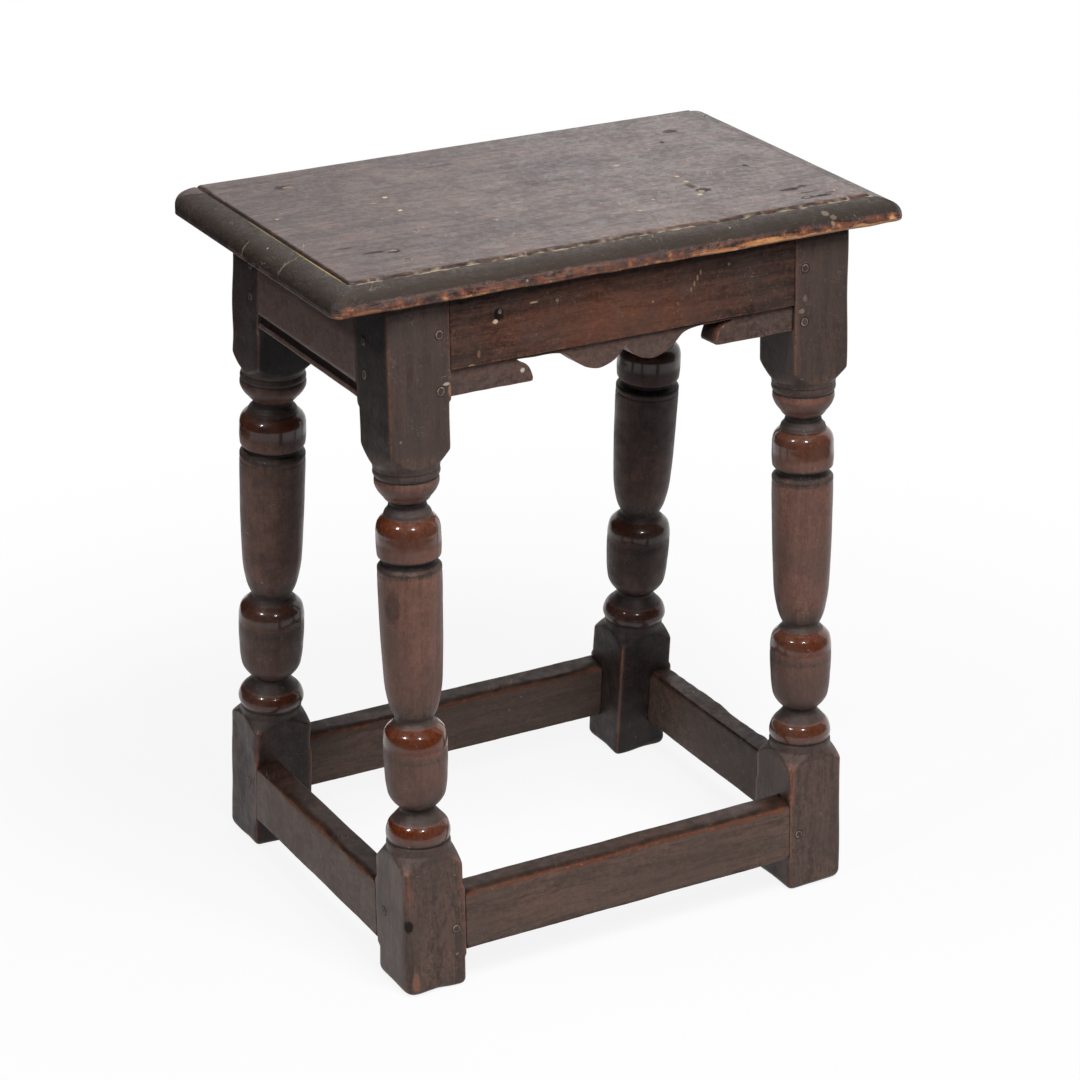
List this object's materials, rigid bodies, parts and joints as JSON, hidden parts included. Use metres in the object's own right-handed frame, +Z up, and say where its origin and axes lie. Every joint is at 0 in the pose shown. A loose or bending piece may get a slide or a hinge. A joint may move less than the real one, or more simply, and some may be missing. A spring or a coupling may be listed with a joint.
{
  "type": "joint stool",
  "caption": "Oak joint stool: a board seat with a thumbnail edge on splayed, turned legs, tied by scroll-cut aprons and low stretchers with pegged tenons",
  "frame": {"origin": "on the floor, under the middle of the seat", "axes": "+X along the seat to the right as seen from the front, -Y towards the front, +Z up"},
  "size_m": [0.46, 0.305, 0.536],
  "materials": {
    "seat_oak": "old wax, dry on the flat and smooth on the moulding",
    "leg_oak": "old wax, glossy on the turned rings and dull in the hollows",
    "apron_oak": "old wax with a dull sunk band",
    "stretcher_oak": "worn and dry with rubbed arrises",
    "peg_oak": "dark end grain"
  },
  "bodies": {
    "root": {"seat_board": "seat_oak", "leg_front_left": "leg_oak", "leg_front_right": "leg_oak", "leg_back_left": "leg_oak", "leg_back_right": "leg_oak", "apron_front": "apron_oak", "apron_back": "apron_oak", "apron_left": "apron_oak", "apron_right": "apron_oak", "stretcher_front": "stretcher_oak", "stretcher_back": "stretcher_oak", "stretcher_left": "stretcher_oak", "stretcher_right": "stretcher_oak", "peg_seat_front_left": "peg_oak", "peg_apron_front_left_upper": "peg_oak", "peg_apron_left_front_upper": "peg_oak", "peg_apron_front_left_lower": "peg_oak", "peg_apron_left_front_lower": "peg_oak", "peg_stretcher_front_left": "peg_oak", "peg_stretcher_left_front": "peg_oak", "peg_seat_front_right": "peg_oak", "peg_apron_front_right_upper": "peg_oak", "peg_apron_right_front_upper": "peg_oak", "peg_apron_front_right_lower": "peg_oak", "peg_apron_right_front_lower": "peg_oak", "peg_stretcher_front_right": "peg_oak", "peg_stretcher_right_front": "peg_oak", "peg_seat_back_left": "peg_oak", "peg_apron_back_left_upper": "peg_oak", "peg_apron_left_back_upper": "peg_oak", "peg_apron_back_left_lower": "peg_oak", "peg_apron_left_back_lower": "peg_oak", "peg_stretcher_back_left": "peg_oak", "peg_stretcher_left_back": "peg_oak", "peg_seat_back_right": "peg_oak", "peg_apron_back_right_upper": "peg_oak", "peg_apron_right_back_upper": "peg_oak", "peg_apron_back_right_lower": "peg_oak", "peg_apron_right_back_lower": "peg_oak", "peg_stretcher_back_right": "peg_oak", "peg_stretcher_right_back": "peg_oak"}
  },
  "joints": []
}
